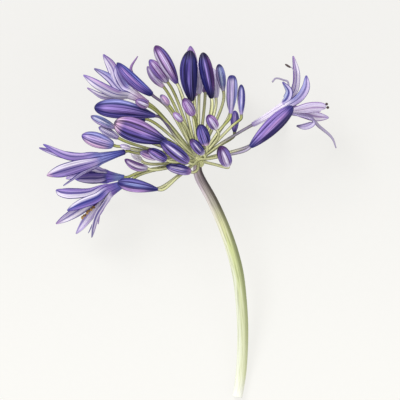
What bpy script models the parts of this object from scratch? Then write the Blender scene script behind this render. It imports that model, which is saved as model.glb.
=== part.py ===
"""A cut agapanthus flower stem, lying on a surface.

The scape, its receptacle and its pedicels grew as one piece and are one object. Each open flower and
each bud is an object of its own, seated on the end of its pedicel. Units are metres, with +Z up. The
origin lies on the surface, under the small flat that the cut end of the scape rests on.

Places are given on a plan, as picture pixels, with a height above the surface in millimetres. One
pixel is PIXEL metres, and picture up is +Y.
"""

import math

import bmesh
import bpy
from mathutils import Matrix, Quaternion, Vector

MM = 0.001
PIXEL = 0.56 * MM
ORIGIN_PIXEL = (239.2, 388.0)

HUB = (198.5, 160.5, 38.0)
UMBEL_AXIS = Vector((-0.32, 0.94, 0.12)).normalized()
RECEPTACLE_RADIUS = 3.3 * MM
RECEPTACLE_LENGTH = 4.2 * MM
RECEPTACLE_SIDES = 12
RECEPTACLE_RINGS = 8

PEDICEL_RADIUS = 0.85 * MM
PEDICEL_SEGMENTS = 6
GUIDED_PEDICEL_SEGMENTS = 4
PEDICEL_START_SHARE = 0.5
PEDICEL_END = 0.8 * MM
PEDICEL_END_PULL = 0.6
SEAT_GAP = 0.3 * MM

SCAPE_SEGMENTS = 2
SCAPE_SIDES_RESOLUTION = 4
PEDICEL_SIDES_RESOLUTION = 1
FILAMENT_SIDES_RESOLUTION = 0

REST_CUTTER_SIZE = (40 * MM, 80 * MM, 20 * MM)
WELD_DISTANCE = 0.01 * MM
SHARP_DEGREES = 50

# Picture place, height of the centre line and radius in millimetres, from the hub to the cut end.
SCAPE = [
    (198.4, 160.5, 38.0, 2.1),
    (197.4, 168.0, 37.5, 2.4),
    (199.9, 178.0, 36.7, 2.8),
    (212.0, 200.0, 34.0, 3.0),
    (222.8, 224.0, 30.0, 3.15),
    (231.4, 248.0, 25.8, 3.3),
    (237.6, 272.0, 21.2, 3.3),
    (241.0, 298.0, 16.2, 3.2),
    (242.8, 326.0, 10.8, 3.15),
    (242.6, 352.0, 6.2, 3.05),
    (241.2, 374.0, 3.4, 2.95),
    (239.2, 388.0, 2.7, 2.85),
    (237.5, 398.0, 2.6, 2.8),
]

# Swell, taper and neck of a bud's outline: a club, a bud about to open, a pointed lens, a slim
# spindle and a young egg.
FORMS = {
    "club": (0.85, 0.38, 0.22),
    "full": (1.0, 0.55, 0.15),
    "lens": (0.8, 0.55, 0.16),
    "spindle": (0.75, 0.62, 0.3),
    "young": (0.62, 0.6, 0.25),
}

# A bud is (form, base, tip, width in millimetres, sideways bow in millimetres, places its pedicel
# passes). A bow to the right of the way from base to tip is more than zero.
BUDS = {
    "bud_top_1": ("lens", (177.4, 84.2, 45), (155.2, 45.8, 49), 8.0, 0.3, ()),
    "bud_top_2": ("spindle", (167.6, 82.3, 39), (149.4, 59.6, 38), 6.7, 0.0, ()),
    "bud_top_3": ("spindle", (164.0, 87.4, 33), (147.1, 66.0, 31), 4.5, -1.0, ()),
    "bud_top_4": ("lens", (192.0, 101.8, 47), (189.8, 50.6, 54), 10.4, -1.2, ()),
    "bud_top_5": ("spindle", (194.4, 97.0, 27), (190.3, 45.7, 31), 7.4, 0.0, ()),
    "bud_top_6": ("lens", (211.8, 99.3, 49), (202.7, 52.7, 55), 8.1, 0.0, ()),
    "bud_top_7": ("spindle", (199.0, 94.6, 36), (200.0, 60.0, 36), 5.8, 0.0, ()),
    "bud_top_8": ("spindle", (205.2, 93.0, 30), (206.0, 62.0, 24), 6.2, 0.0, ()),
    "bud_top_9": ("lens", (223.5, 91.8, 42), (218.8, 64.1, 44), 5.5, 0.0, ()),
    "bud_top_10": ("spindle", (216.0, 98.2, 34), (212.5, 68.0, 32), 6.0, 0.0, ()),
    "bud_top_11": ("club", (230.6, 114.5, 48), (232.0, 75.2, 49), 6.5, 0.3, ((218.6, 131.4, 44),)),
    "bud_top_12": ("lens", (241.3, 116.0, 47), (241.2, 84.5, 46), 4.6, 0.0, ((230.5, 127.5, 45),)),
    "bud_top_13": ("lens", (234.5, 133.1, 36), (235.0, 110.5, 38), 5.0, 0.0, ((219.0, 146.0, 36),)),
    "bud_front_1": ("young", (193.4, 115.5, 62), (183.7, 98.7, 67), 6.2, 0.0, ()),
    "bud_front_2": ("young", (216.4, 129.3, 60), (207.8, 115.3, 64), 6.2, 0.0, ((217.0, 139.5, 53),)),
    "bud_front_3": ("young", (206.4, 145.1, 65), (199.8, 125.0, 73), 7.2, 0.0, ()),
    "bud_front_4": ("young", (203.1, 154.3, 60), (190.4, 139.5, 66), 5.8, 0.0, ()),
    "bud_front_5": ("young", (168.9, 105.3, 57), (160.7, 95.1, 60), 4.0, 0.0, ()),
    "bud_front_6": ("young", (182.1, 121.6, 60), (173.5, 113.0, 63), 4.0, 0.0, ()),
    "bud_front_7": ("young", (148.2, 106.2, 55), (135.6, 100.8, 58), 5.2, 0.0, ()),
    "bud_front_8": ("young", (188.4, 162.1, 60), (160.4, 141.0, 70), 7.8, 0.0, ()),
    "bud_front_9": ("young", (191.2, 172.0, 48.0), (166.0, 166.0, 50.0), 6.2, 0.0, ((197.5, 169.5, 45.0),)),
    "bud_front_10": ("young", (228.0, 165.8, 47), (220.4, 146.6, 57), 7.6, 0.0, ((214.0, 164.3, 42),)),
    "bud_left_1": ("spindle", (152.6, 95.3, 51), (116.9, 62.9, 53), 6.9, -1.2, ((171.0, 112.0, 49),)),
    "bud_left_2": ("full", (156.4, 116.2, 50), (94.4, 107.4, 53), 11.2, 1.0, ((178.0, 140.0, 47),)),
    "bud_left_3": ("full", (168.0, 142.3, 58), (114.4, 122.8, 63), 13.8, 0.0, ()),
    "bud_left_4": ("spindle", (115.0, 128.0, 43), (90.7, 116.0, 41), 5.0, 0.0, ()),
    "bud_left_5": ("spindle", (118.9, 138.2, 40), (98.6, 127.0, 38), 4.8, 0.0, ((145.3, 147.8, 40),)),
    "bud_left_6": ("spindle", (113.7, 145.4, 45), (81.7, 135.3, 46), 8.8, 0.0, ((131.0, 148.2, 45),)),
    "bud_left_7": ("young", (131.0, 148.4, 48.5), (120.0, 145.5, 50), 2.9, 0.0, ()),
    "bud_left_8": ("young", (166.7, 160.0, 56), (147.7, 149.5, 59), 6.2, 0.0, ()),
    "bud_left_9": ("young", (158.0, 158.0, 49.5), (140.0, 152.3, 51), 5.2, 0.0, ()),
    "bud_left_10": ("young", (147.8, 168.6, 45), (124.6, 159.4, 47), 5.2, -1.2, ()),
    "bud_left_11": ("young", (142.0, 161.0, 36), (131.0, 153.0, 34), 3.6, 0.0, ()),
    "bud_left_12": ("full", (159.2, 189.7, 52), (117.6, 182.6, 56), 7.9, 0.0, ((178.0, 177.0, 45.5),)),
    "bud_right_1": ("lens", (249.6, 147.6, 49), (292.8, 106.3, 54), 9.4, 0.0, ((222.0, 156.0, 41),)),
    "bud_under_1": ("spindle", (146.0, 119.0, 26), (107.0, 109.0, 16), 7.0, 0.0, ()),
    "bud_under_2": ("spindle", (160.0, 137.0, 20), (119.0, 130.0, 7), 7.6, 0.0, ()),
    "bud_under_3": ("spindle", (192.0, 98.0, 18), (190.0, 60.0, 9), 6.8, 0.0, ()),
    "bud_under_4": ("spindle", (211.0, 96.0, 13), (203.0, 60.0, 0.55), 7.0, 0.0, ()),
    "bud_under_5": ("spindle", (175.5, 79.7, 19), (157.5, 50.2, 0.0), 6.4, 0.0, ()),
    "bud_under_6": ("spindle", (230.4, 110.0, 24), (231.8, 80.0, 12), 5.4, 0.0, ()),
    "bud_under_7": ("spindle", (254.0, 142.5, 20), (285.0, 113.0, 0.08), 7.2, 0.0, ()),
    "bud_under_8": ("spindle", (184.0, 158.6, 16), (163.0, 143.0, 5), 6.4, 0.0, ()),
    "bud_under_9": ("spindle", (154.0, 188.4, 18), (119.0, 183.6, 0.06), 6.6, 0.0, ()),
    "bud_under_10": ("spindle", (203.0, 182.0, 21), (212.5, 203.0, 9), 5.0, 0.0, ()),
}

# The right flower's lower tepal, which curls back under it.
CURLED_BACK = (
    (299, 115, 33.5), (311, 118, 34), (313, 123, 34), (305, 126.5, 34.5), (296.5, 126, 35)
)

# A tepal is (angle round the tube, angle its face turns to, width in millimetres, places to its tip).
# It turns in the first TEPAL_TURNED of its length, or after that where it curls back.
# A stamen is (length of its anther in millimetres, or 0 for a bare end, places to its end). Swing is
# how far the anthers turn from their filaments in degrees, to one side and the other in turn.
FLOWERS = {
    "flower_left": {
        "base": (125.7, 151.6, 42.5),
        "throat": (101.0, 158.3, 43.0),
        "radii": (1.5, 3.4),
        "pedicel": ((140.0, 153.5, 41.5),),
        "tepals": [
            (45, 20, 5.0, ((80, 157.0, 46), (64, 154.8, 47), (43.4, 144.4, 46))),
            (-15, -15, 8.0, ((80, 165.8, 48), (62, 171.0, 49), (47.0, 175.6, 46))),
            (-75, -75, 5.0, ((88, 169.5, 43.5), (75, 178, 42.5), (63.5, 186, 41))),
            (-135, -150, 6.0, ((86, 169, 38), (76, 174, 36), (66, 178.5, 33))),
            (165, 165, 5.6, ((80, 165, 36), (66, 169, 33), (54, 172.5, 30))),
            (105, 140, 5.6, ((82, 156, 39), (62, 154.5, 37), (39.1, 147.8, 36))),
        ],
        "stamens": [],
        "style": ((80, 163, 42), (62, 170, 39)),
    },
    "flower_lower_left": {
        "base": (128.5, 181.5, 39),
        "throat": (111.0, 189.6, 37.5),
        "radii": (1.5, 3.6),
        "pedicel": ((146.0, 172.5, 40),),
        "tepals": [
            (75, 20, 6.4, ((90, 191.8, 40), (72, 193.4, 42), (62, 192.5, 41), (56, 190, 38))),
            (15, 15, 6.0, ((97, 197.5, 44), (81, 204, 45), (67.3, 210.4, 43))),
            (-45, -60, 5.4, ((104.5, 204.6, 40), (96.6, 218, 38), (91.8, 237.5, 32))),
            (-105, -105, 5.4, ((104, 204, 32), (95, 219, 28), (88.5, 233, 23))),
            (-165, -165, 6.2, ((99, 203, 29), (87, 219, 23), (75.9, 233.9, 19))),
            (135, 150, 7.0, ((92, 200, 30), (74, 213, 24), (55.8, 223.8, 20))),
        ],
        "swing": 50,
        "stamens": [
            (2.0, ((82.3, 217.6, 38),)),
            (2.0, ((84.5, 215.6, 39),)),
            (2.0, ((87.2, 213.0, 40),)),
            (2.0, ((88.5, 211.0, 41),)),
            (2.0, ((91.3, 209.5, 40.5),)),
            (2.0, ((93.5, 207.3, 40),)),
        ],
        "style": ((102, 205, 36), (98, 224, 32)),
    },
    "flower_half_open": {
        "base": (124.5, 177.3, 31),
        "throat": (109.5, 176.8, 28.5),
        "radii": (1.4, 3.3),
        "pedicel": ((145.0, 170.6, 35),),
        "tepals": [
            (0, 0, 6.4, ((99, 178.0, 32), (88, 178.2, 32), (75, 179.0, 29))),
            (60, 40, 4.6, ((102, 171.2, 30), (94, 168.8, 29), (85, 170.4, 27))),
            (120, 120, 5.6, ((102, 172.5, 24.5), (93, 170.5, 22.5), (83, 171.5, 21))),
            (180, 180, 5.6, ((100, 177.5, 22.5), (88, 178, 20.5), (77, 178, 19.5))),
            (-120, -120, 4.6, ((101, 180.5, 24), (90, 180.5, 22.5), (80, 180, 22))),
            (-60, -40, 4.6, ((101, 180.5, 29), (90, 180.5, 28), (79.5, 180, 26))),
        ],
        "stamens": [],
        "style": (),
    },
    "flower_upper_left": {
        "base": (148.5, 103.5, 42),
        "throat": (131.0, 93.5, 40),
        "radii": (1.5, 3.6),
        "pedicel": ((172.0, 127.0, 42),),
        "tepals": [
            (90, 60, 5.2, ((133, 83, 37), (128, 75, 36), (123, 67, 35))),
            (30, 30, 5.4, ((124.5, 86, 42), (118.5, 75.5, 43), (115.6, 65.8, 42))),
            (-30, -30, 6.4, ((115, 93.5, 44), (99, 85.6, 45), (83.4, 75.2, 44))),
            (-90, -60, 5.4, ((115, 98.5, 38), (101, 95.8, 38), (87, 88.0, 37))),
            (-150, -150, 5.0, ((118, 88, 34), (108, 77, 33), (94.1, 68.5, 34))),
            (150, 150, 7.5, ((118.5, 85, 34), (112.3, 68, 34), (103.3, 54.2, 35))),
        ],
        "stamens": [],
        "style": ((134.0, 78.0, 40), (131.0, 68.0, 41), (137.7, 56.4, 43)),
    },
    "flower_right": {
        "base": (251.5, 125.4, 36),
        "throat": (283.5, 107.5, 34),
        "radii": (1.4, 3.2),
        "pedicel": ((220.5, 143.9, 40),),
        "tepals": [
            (-60, -15, 5.0, ((286.3, 99.5, 37), (289, 91, 38.5), (282.5, 82, 40))),
            (0, 0, 5.0, ((298, 99, 39.5), (305.6, 88, 41), (306.3, 75.5, 40))),
            (60, 30, 6.8, ((300, 109.5, 39), (312, 107.4, 41), (321.5, 107.2, 41), (325.3, 108.5, 39))),
            (120, -40, 5.0, CURLED_BACK),
            (180, 180, 6.4, ((301, 112, 29), (315, 116, 27), (329, 117.5, 24))),
            (-120, -150, 5.2, ((293.5, 92, 31), (296.6, 75, 30), (293.1, 55.8, 30))),
        ],
        "swing": 0,
        "stamens": [
            (1.6, ((312.0, 106.5, 36.5), (326.6, 104.1, 38.5))),
            (1.6, ((312.0, 109.5, 36.0), (327.8, 107.5, 37.5))),
            (0, ((288.5, 84, 34), (283, 79.8, 34.5), (276, 78.3, 35.5), (272.3, 82, 36.5))),
            (4.0, ((295.5, 79.0, 33), (292.6, 68.6, 32.5), (288.0, 65.8, 32))),
            (1.6, ((314.0, 111.0, 33),)),
        ],
        "style": ((305, 116, 31), (320, 127, 29.5), (331.9, 137.5, 28.5), (336.3, 148.1, 27.5)),
    },
}

BUD_RINGS = (0.0, 0.2, 0.42, 0.64, 0.84, 0.95)
SMALL_BUD_RINGS = (0.0, 0.24, 0.5, 0.74, 0.93)
SMALL_BUD_WIDTH = 6.3
BUD_SIDES = 12
BUD_LOBES = 6
BUD_LOBE_DEPTH = 0.05
NECK_FADE = 4

TEPAL_THICKNESS = 0.7 * MM
TEPAL_TIP_WIDTH = 0.8 * MM
TEPAL_WIDEST = 0.5
TEPAL_STATIONS_PER_SPAN = 2
TEPAL_KEEL = 0.09
TEPAL_TURNED = 0.4
TEPAL_SHOULDER = 2.2
TEPAL_TAPER = 0.9
TUBE_RINGS = 4
TUBE_SWELL = 1.3
PLUG_SHARE = 0.55
PLUG_SIDES = 12
FILAMENT_ROOT_SHARE = 0.44
FILAMENT_INNER_SHARE = 0.1
TEPALS = 6
FLARE_DEGREES = 24
FILAMENT_RADIUS = 0.4 * MM
FILAMENT_STEPS = 2
STYLE_RADIUS = 0.55 * MM
ANTHER_RADIUS = 0.7 * MM
ANTHER_SIDES = 6
ANTHER_RINGS = 4
STYLE_STEPS = 3

GREEN = (0.45, 0.52, 0.22, 1.0)
VIOLET = (0.16, 0.11, 0.42, 1.0)
LILAC = (0.50, 0.38, 0.68, 1.0)
GREEN_ROUGHNESS = 0.5
BUD_ROUGHNESS = 0.45
PETAL_ROUGHNESS = 0.5


def at(place):
    """A place on the plan, with its height in millimetres, as a point."""
    across, down, height = place
    return Vector(
        ((across - ORIGIN_PIXEL[0]) * PIXEL, (ORIGIN_PIXEL[1] - down) * PIXEL, height * MM)
    )


def smooth_path(points, first_tangent, last_tangent, steps):
    """Points on a smooth curve through the given points, with a number of steps to each span."""
    tangents = [first_tangent]
    for before, after in zip(points, points[2:]):
        tangents.append((after - before) / 2)
    tangents.append(last_tangent)
    path = [points[0].copy()]
    for span in range(len(points) - 1):
        start, end = points[span], points[span + 1]
        for step in range(1, steps + 1):
            t = step / steps
            path.append(
                start * (2 * t**3 - 3 * t**2 + 1)
                + tangents[span] * (t**3 - 2 * t**2 + t)
                + end * (3 * t**2 - 2 * t**3)
                + tangents[span + 1] * (t**3 - t**2)
            )
    return path


def new_material(name, colour, roughness):
    material = bpy.data.materials.new(name)
    material.use_nodes = True
    shader = material.node_tree.nodes["Principled BSDF"]
    shader.inputs["Base Color"].default_value = colour
    shader.inputs["Roughness"].default_value = roughness
    shader.inputs["Metallic"].default_value = 0.0
    return material


def new_collection(name):
    collection = bpy.data.collections.new(name)
    bpy.context.scene.collection.children.link(collection)
    return collection


def object_from_bmesh(name, mesh, collection):
    data = bpy.data.meshes.new(name)
    mesh.to_mesh(data)
    mesh.free()
    piece = bpy.data.objects.new(name, data)
    collection.objects.link(piece)
    return piece


def tube(name, path, radii, sides_resolution, collection):
    """A closed mesh tube along a path, from a curve with a bevel and filled caps."""
    curve = bpy.data.curves.new(name, "CURVE")
    curve.dimensions = "3D"
    curve.bevel_depth = 1.0
    curve.bevel_resolution = sides_resolution
    curve.use_fill_caps = True
    spline = curve.splines.new("POLY")
    spline.points.add(len(path) - 1)
    for point, place, radius in zip(spline.points, path, radii):
        point.co = (*place, 1.0)
        point.radius = radius
    line = bpy.data.objects.new(name, curve)
    collection.objects.link(line)
    bpy.context.view_layer.update()
    evaluated = line.evaluated_get(bpy.context.evaluated_depsgraph_get())
    data = bpy.data.meshes.new_from_object(evaluated)
    welded = bmesh.new()
    welded.from_mesh(data)
    bmesh.ops.remove_doubles(welded, verts=welded.verts, dist=WELD_DISTANCE)
    welded.to_mesh(data)
    welded.free()
    place_of_line = line.matrix_world.copy()
    bpy.data.objects.remove(line)
    bpy.data.curves.remove(curve)
    piece = bpy.data.objects.new(name, data)
    piece.matrix_world = place_of_line
    collection.objects.link(piece)
    return piece


def join_all(body, pieces, solver):
    """One closed body from a first object and the pieces in a collection, which are then removed."""
    union = body.modifiers.new("union", "BOOLEAN")
    union.operation = "UNION"
    union.operand_type = "COLLECTION"
    union.collection = pieces
    union.solver = solver
    apply_modifiers(body)
    for piece in list(pieces.objects):
        bpy.data.objects.remove(piece)
    bpy.data.collections.remove(pieces)


def apply_modifiers(piece):
    bpy.context.view_layer.update()
    evaluated = piece.evaluated_get(bpy.context.evaluated_depsgraph_get())
    data = bpy.data.meshes.new_from_object(evaluated)
    piece.modifiers.clear()
    piece.data = data


def finish_piece(piece, material):
    piece.data.materials.clear()
    piece.data.materials.append(material)
    piece.data.shade_smooth()
    piece.data.set_sharp_from_angle(angle=math.radians(SHARP_DEGREES))


def frame_along(direction):
    """A rotation that turns +Z to a direction, with its +X kept as near world up as it can be."""
    along = direction.normalized()
    up = Vector((0, 0, 1))
    across = up - along * up.dot(along)
    across.normalize()
    return Matrix((across, along.cross(across), along)).transposed()


def bud_radius(u, width, form):
    """Radius of a bud at a share of its length: a neck, a belly past the middle and a blunt tip."""
    swell, taper, neck = FORMS[form]
    peak = swell / (swell + taper)
    highest = peak**swell * (1 - peak) ** taper
    belly = u**swell * (1 - u) ** taper / highest
    return width / 2 * (belly + neck * (1 - u) ** NECK_FADE)


def make_bud(name, bud, collection):
    form, base_place, tip_place, width, bow, _ = bud
    base, tip = at(base_place), at(tip_place)
    rings = BUD_RINGS if width > SMALL_BUD_WIDTH else SMALL_BUD_RINGS
    turn = frame_along(tip - base)
    sideways = turn @ Vector((0, 1, 0))
    mesh = bmesh.new()
    bmesh.ops.create_uvsphere(mesh, u_segments=BUD_SIDES, v_segments=len(rings) + 1, radius=1.0)
    for vertex in mesh.verts:
        polar = math.acos(max(-1.0, min(1.0, -vertex.co.z)))
        ring = round(polar / math.pi * (len(rings) + 1))
        if ring == 0:
            u, radius = 0.0, 0.0
        elif ring == len(rings) + 1:
            u, radius = 1.0, 0.0
        else:
            u = rings[ring - 1]
            radius = bud_radius(u, width * MM, form)
        angle = math.atan2(vertex.co.y, vertex.co.x)
        lobe = 1 + BUD_LOBE_DEPTH * math.cos(BUD_LOBES * angle) * math.sin(math.pi * u)
        spoke = Vector((math.cos(angle), math.sin(angle), 0)) * radius * lobe
        bend = sideways * bow * MM * math.sin(math.pi * u)
        vertex.co = base.lerp(tip, u) + bend + turn @ spoke
    return object_from_bmesh(name, mesh, collection)


def tepal_width(u, root_width, width):
    """Width of a tepal at a share of its length, from its root in the tube to its narrow tip."""
    if u < TEPAL_WIDEST:
        rise = math.sin(u / TEPAL_WIDEST * math.pi / 2)
        return root_width + (width - root_width) * rise
    fall = (u - TEPAL_WIDEST) / (1 - TEPAL_WIDEST)
    return TEPAL_TIP_WIDTH + (width - TEPAL_TIP_WIDTH) * (1 - fall**TEPAL_SHOULDER) ** TEPAL_TAPER


def turn_share(u, curled):
    """How much of its turn a tepal has made: early, or after the bend if it curls back."""
    if curled:
        return max(0, (u - TEPAL_TURNED) / (1 - TEPAL_TURNED))
    return min(1, u / TEPAL_TURNED)


def flower_skin(flower):
    """The open surface of a flower: one tube that splits into six tepals."""
    base, throat = at(flower["base"]), at(flower["throat"])
    base_radius, throat_radius = (radius * MM for radius in flower["radii"])
    axis = (throat - base).normalized()
    turn = frame_along(axis)
    mesh = bmesh.new()

    def ring_point(share, angle):
        radius = base_radius + (throat_radius - base_radius) * share**TUBE_SWELL
        spoke = Vector((math.cos(angle), math.sin(angle), 0)) * radius
        return base.lerp(throat, share) + turn @ spoke

    first_angle = math.radians(flower["tepals"][0][0])
    direction = math.radians(flower["tepals"][1][0] - flower["tepals"][0][0])
    step = math.copysign(math.pi / TEPALS, math.sin(direction))
    angles = [first_angle + step * (index - 1) for index in range(2 * TEPALS)]
    rings = []
    for level in range(TUBE_RINGS + 1):
        share = level / TUBE_RINGS
        rings.append([mesh.verts.new(ring_point(share, angle)) for angle in angles])
    bottom = mesh.verts.new(base)
    count = len(angles)
    for index in range(count):
        after = (index + 1) % count
        mesh.faces.new((rings[0][after], rings[0][index], bottom))
        for low, high in zip(rings, rings[1:]):
            mesh.faces.new((low[index], low[after], high[after]))
            mesh.faces.new((low[index], high[after], high[index]))
    flare = math.radians(FLARE_DEGREES)
    for index, (angle, face, width, places) in enumerate(flower["tepals"]):
        radians = first_angle + 2 * step * index
        outward = turn @ Vector((math.cos(radians), math.sin(radians), 0))
        root = [rings[-1][(2 * index + offset) % count] for offset in (0, 1, 2)]
        points = [root[1].co.copy()] + [at(place) for place in places]
        start = (axis * math.cos(flare) + outward * math.sin(flare)) * (points[1] - points[0]).length
        end = points[-1] - points[-2]
        path = smooth_path(points, start, end, TEPAL_STATIONS_PER_SPAN)
        last = len(path) - 1
        twist = math.radians(face - angle)
        curled = places is CURLED_BACK
        side = (root[2].co - root[0].co).normalized()
        root_width = (root[2].co - root[0].co).length
        tangent = start.normalized()
        before = root
        for station in range(1, last + 1):
            u = station / last
            ahead = path[min(station + 1, last)] - path[station - 1]
            ahead.normalize()
            turned = turn_share(u, curled) - turn_share((station - 1) / last, curled)
            side = tangent.rotation_difference(ahead) @ side
            side = Quaternion(ahead, twist * turned) @ side
            tangent = ahead
            half = side * tepal_width(u, root_width, width * MM) / 2
            normal = side.cross(ahead).normalized()
            keel = normal * half.length * 2 * TEPAL_KEEL * math.copysign(1, step)
            places_now = (path[station] - half, path[station] + keel, path[station] + half)
            now = [mesh.verts.new(place) for place in places_now]
            for side_index in (0, 1):
                a, b = before[side_index], before[side_index + 1]
                c, d = now[side_index], now[side_index + 1]
                mesh.faces.new((a, b, d))
                mesh.faces.new((a, d, c))
            before = now
    if step < 0:
        bmesh.ops.reverse_faces(mesh, faces=mesh.faces)
    return mesh


def make_flower(name, flower, parts, helpers):
    base, throat = at(flower["base"]), at(flower["throat"])
    axis = (throat - base).normalized()
    body = object_from_bmesh(name, flower_skin(flower), parts)
    solid = body.modifiers.new("thickness", "SOLIDIFY")
    solid.thickness = TEPAL_THICKNESS
    solid.offset = -1
    apply_modifiers(body)
    joined = bpy.data.collections.new(name + "_joined")
    helpers.children.link(joined)
    base_radius, throat_radius = (radius * MM for radius in flower["radii"])
    plug_swell = PLUG_SHARE**TUBE_SWELL
    plug = bmesh.new()
    length = (throat - base).length * PLUG_SHARE
    bmesh.ops.create_cone(
        plug,
        cap_ends=True,
        segments=PLUG_SIDES,
        radius1=base_radius - TEPAL_THICKNESS / 2,
        radius2=base_radius + (throat_radius - base_radius) * plug_swell - TEPAL_THICKNESS / 2,
        depth=length,
    )
    middle = base + axis * (length / 2 + TEPAL_THICKNESS / 2)
    bmesh.ops.transform(
        plug, matrix=Matrix.Translation(middle) @ frame_along(axis).to_4x4(), verts=plug.verts
    )
    object_from_bmesh(name + "_plug", plug, joined)
    root = base.lerp(throat, FILAMENT_ROOT_SHARE)
    for index, (anther_length, places) in enumerate(flower["stamens"]):
        inner = throat.lerp(at(places[0]), FILAMENT_INNER_SHARE)
        points = [root, inner] + [at(place) for place in places]
        end, tangent = points[-1], points[-1] - points[-2]
        path = smooth_path(points, axis * (inner - root).length, tangent, FILAMENT_STEPS)
        radii = [FILAMENT_RADIUS] * len(path)
        tube(f"{name}_filament_{index}", path, radii, FILAMENT_SIDES_RESOLUTION, joined)
        if not anther_length:
            continue
        anther = bmesh.new()
        bmesh.ops.create_uvsphere(
            anther, u_segments=ANTHER_SIDES, v_segments=ANTHER_RINGS, radius=1.0
        )
        swing = math.radians(flower["swing"]) * (-1) ** index
        along = frame_along(Quaternion((0, 0, 1), swing) @ tangent)
        size = Matrix.Diagonal((ANTHER_RADIUS, ANTHER_RADIUS, anther_length * MM / 2, 1))
        bmesh.ops.transform(
            anther, matrix=Matrix.Translation(end) @ along.to_4x4() @ size, verts=anther.verts
        )
        object_from_bmesh(f"{name}_anther_{index}", anther, joined)
    if flower["style"]:
        points = [root] + [at(place) for place in flower["style"]]
        reach = (points[1] - points[0]).length
        path = smooth_path(points, axis * reach, points[-1] - points[-2], STYLE_STEPS)
        radii = [STYLE_RADIUS] * len(path)
        tube(name + "_style", path, radii, FILAMENT_SIDES_RESOLUTION, joined)
    join_all(body, joined, "EXACT")
    return body


def pedicel_end(base_place, toward_place):
    """The end of a pedicel, just short of the bud's base, and the way it points there."""
    base, toward = at(base_place), at(toward_place)
    direction = (toward - base).normalized()
    return base - direction * SEAT_GAP, direction


def make_pedicel(name, base_place, toward_place, passes, collection):
    end, direction = pedicel_end(base_place, toward_place)
    hub = at(HUB)
    first = at(passes[0]) if passes else end
    leave = (first - hub).normalized()
    start = hub + leave * RECEPTACLE_RADIUS * PEDICEL_START_SHARE
    points = [start] + [at(place) for place in passes] + [end - direction * PEDICEL_END]
    first_span = (points[1] - points[0]).length
    last_span = (points[-1] - points[-2]).length
    steps = GUIDED_PEDICEL_SEGMENTS if passes else PEDICEL_SEGMENTS
    path = smooth_path(points, leave * first_span, direction * last_span * PEDICEL_END_PULL, steps) + [end]
    radii = [PEDICEL_RADIUS] * len(path)
    return tube(name, path, radii, PEDICEL_SIDES_RESOLUTION, collection)


def make_green(parts, helpers):
    """The scape, the receptacle and every pedicel as one body, with the flat it rests on."""
    points = [at(row[:3]) for row in SCAPE]
    path = smooth_path(points, points[1] - points[0], points[-1] - points[-2], SCAPE_SEGMENTS)
    radii = [row[3] * MM for row in SCAPE]
    between = [(first + second) / 2 for first, second in zip(radii, radii[1:])]
    radii = [value for pair in zip(radii, between) for value in pair] + [radii[-1]]
    body = tube("scape_and_pedicels", path, radii, SCAPE_SIDES_RESOLUTION, parts)
    joined = bpy.data.collections.new("green_joined")
    helpers.children.link(joined)
    knob = bmesh.new()
    bmesh.ops.create_uvsphere(
        knob, u_segments=RECEPTACLE_SIDES, v_segments=RECEPTACLE_RINGS, radius=1.0
    )
    size = Matrix.Diagonal((RECEPTACLE_RADIUS, RECEPTACLE_RADIUS, RECEPTACLE_LENGTH, 1))
    turn = frame_along(UMBEL_AXIS).to_4x4()
    bmesh.ops.transform(knob, matrix=Matrix.Translation(at(HUB)) @ turn @ size, verts=knob.verts)
    object_from_bmesh("receptacle", knob, joined)
    for name, (_, base, tip, _, _, passes) in BUDS.items():
        make_pedicel("pedicel_of_" + name, base, tip, passes, joined)
    for name, flower in FLOWERS.items():
        make_pedicel("pedicel_of_" + name, flower["base"], flower["throat"], flower["pedicel"], joined)
    join_all(body, joined, "EXACT")
    block = bmesh.new()
    bmesh.ops.create_cube(block, size=1.0)
    size = Matrix.Diagonal((*REST_CUTTER_SIZE, 1))
    place = Matrix.Translation((0, 0, -REST_CUTTER_SIZE[2] / 2))
    bmesh.ops.transform(block, matrix=place @ size, verts=block.verts)
    cutter = object_from_bmesh("rest_flat_cutter", block, helpers)
    cutter.hide_render = True
    cutter.display_type = "WIRE"
    cut = body.modifiers.new("rest_flat", "BOOLEAN")
    cut.operation = "DIFFERENCE"
    cut.object = cutter
    return body


def main():
    for old in list(bpy.data.objects):
        bpy.data.objects.remove(old)
    parts = new_collection("agapanthus_flower_stem")
    helpers = new_collection("helpers")
    green = make_green(parts, helpers)
    finish_piece(green, new_material("green", GREEN, GREEN_ROUGHNESS))
    for name, bud in BUDS.items():
        finish_piece(make_bud(name, bud, parts), new_material(name, VIOLET, BUD_ROUGHNESS))
    for name, flower in FLOWERS.items():
        finish_piece(make_flower(name, flower, parts, helpers), new_material(name, LILAC, PETAL_ROUGHNESS))


main()
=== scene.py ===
"""Looks for a cut agapanthus flower stem that lies on a surface, seen from straight above.

Each bud, each flower and the green stem is modelled again, finer, along the same lines as its solid.
Places are given as on the plan: picture pixels, with a height above the surface in millimetres.
"""

import math

import bmesh
import bpy
import numpy as np
from mathutils import Matrix, Quaternion, Vector

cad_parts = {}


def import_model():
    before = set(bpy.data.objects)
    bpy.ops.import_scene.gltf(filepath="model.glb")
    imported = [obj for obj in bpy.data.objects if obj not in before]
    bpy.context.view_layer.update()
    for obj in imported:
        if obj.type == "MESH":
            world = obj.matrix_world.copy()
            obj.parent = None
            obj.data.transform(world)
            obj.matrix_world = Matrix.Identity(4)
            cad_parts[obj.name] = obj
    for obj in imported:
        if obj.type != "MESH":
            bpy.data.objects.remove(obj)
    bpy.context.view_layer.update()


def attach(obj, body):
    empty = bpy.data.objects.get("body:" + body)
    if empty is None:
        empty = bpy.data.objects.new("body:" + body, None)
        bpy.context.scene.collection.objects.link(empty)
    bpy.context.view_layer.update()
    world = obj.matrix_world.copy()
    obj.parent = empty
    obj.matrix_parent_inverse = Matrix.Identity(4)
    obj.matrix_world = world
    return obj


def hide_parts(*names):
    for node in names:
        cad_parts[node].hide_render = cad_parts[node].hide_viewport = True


MM = 0.001
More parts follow.
